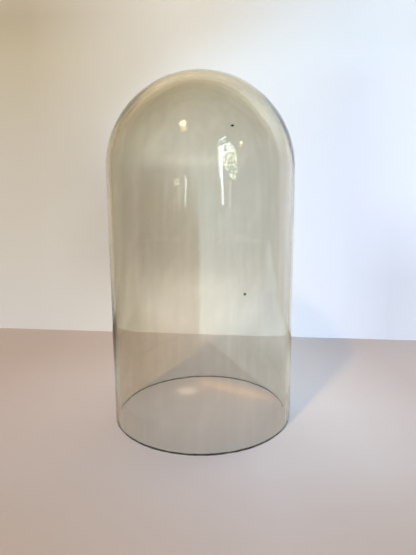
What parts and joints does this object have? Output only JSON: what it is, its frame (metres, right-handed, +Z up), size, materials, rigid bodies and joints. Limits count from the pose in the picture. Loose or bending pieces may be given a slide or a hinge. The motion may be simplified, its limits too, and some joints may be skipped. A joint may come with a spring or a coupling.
{
  "type": "bell jar dome",
  "caption": "Clear blown glass bell jar dome: a tall straight round shell with a hemispherical crown, open at its flat cut and ground rim.",
  "frame": {"origin": "centre of the rim, on the plane the dome stands on", "axes": "+Z up the dome's axis; X and Y are any two directions across the open rim"},
  "size_m": [0.18, 0.18, 0.333],
  "materials": {
    "glass": "clear fire-polished blown glass with a faint green-grey tint; ground cut rim"
  },
  "bodies": {
    "root": {"glass_dome": "glass"}
  },
  "joints": []
}
